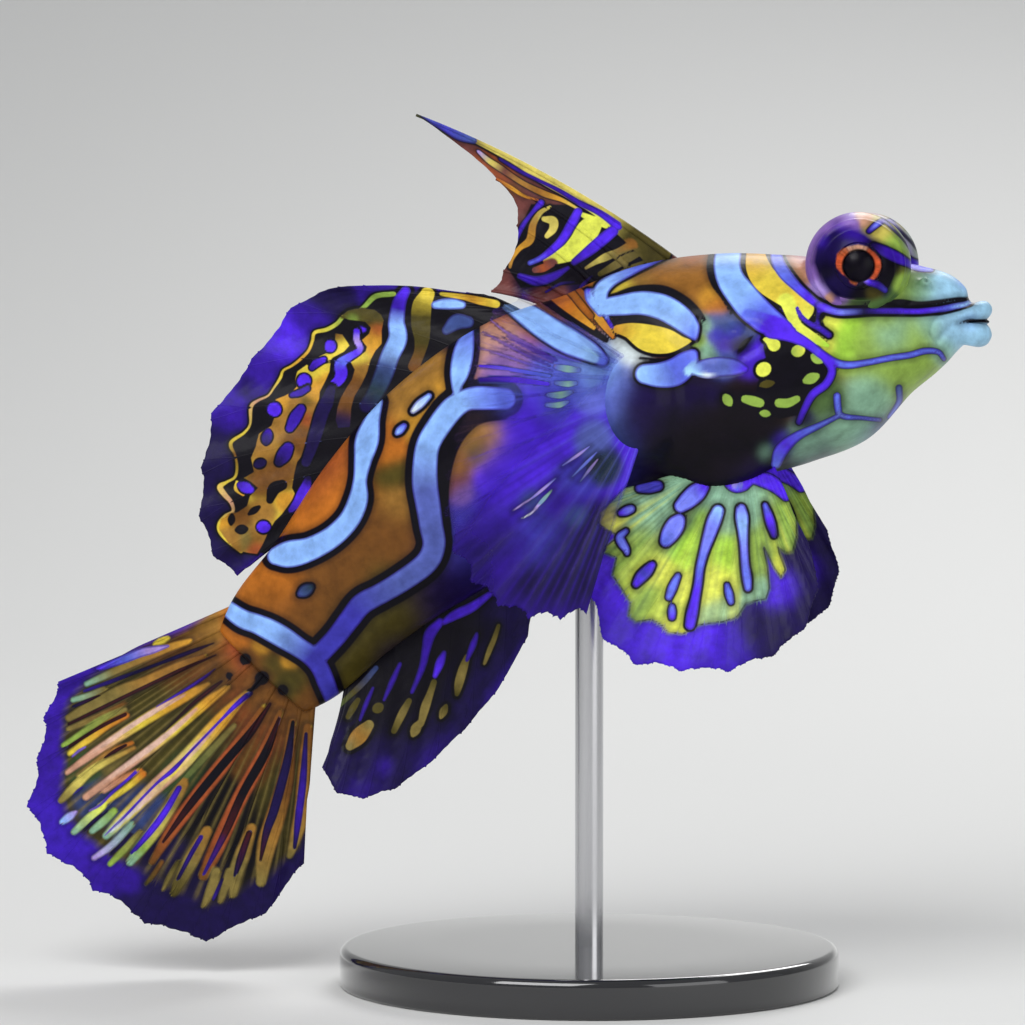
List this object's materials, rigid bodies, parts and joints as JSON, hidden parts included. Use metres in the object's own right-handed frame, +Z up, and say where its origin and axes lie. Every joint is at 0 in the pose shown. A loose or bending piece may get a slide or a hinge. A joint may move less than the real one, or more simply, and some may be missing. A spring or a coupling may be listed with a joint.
{
  "type": "mandarinfish model",
  "caption": "Life-size mandarinfish with raised fins and a bent tail, held on a plain round display stand by a rod under the belly.",
  "frame": {"origin": "centre of the underside of the stand's round base", "axes": "+Z up, +X towards the snout, so the right side faces -Y"},
  "size_m": [0.0624, 0.032, 0.0556],
  "materials": {
    "skin": "smooth scaleless skin, orange with blue bands edged in black",
    "eye": "wet dark violet with an orange iris",
    "fin": "thin ribbed membrane, banded, with a violet margin",
    "base": "polished black acrylic",
    "rod": "satin"
  },
  "bodies": {
    "root": {"head": "skin", "trunk": "skin", "tail_stalk": "skin", "eye_right": "eye", "eye_left": "eye", "first_dorsal_fin": "fin", "second_dorsal_fin": "fin", "anal_fin": "fin", "tail_fin": "fin", "pectoral_fin_right": "fin", "pectoral_fin_left": "fin", "pelvic_fin_right": "fin", "pelvic_fin_left": "fin", "stand_base": "base", "stand_rod": "rod"}
  },
  "joints": []
}
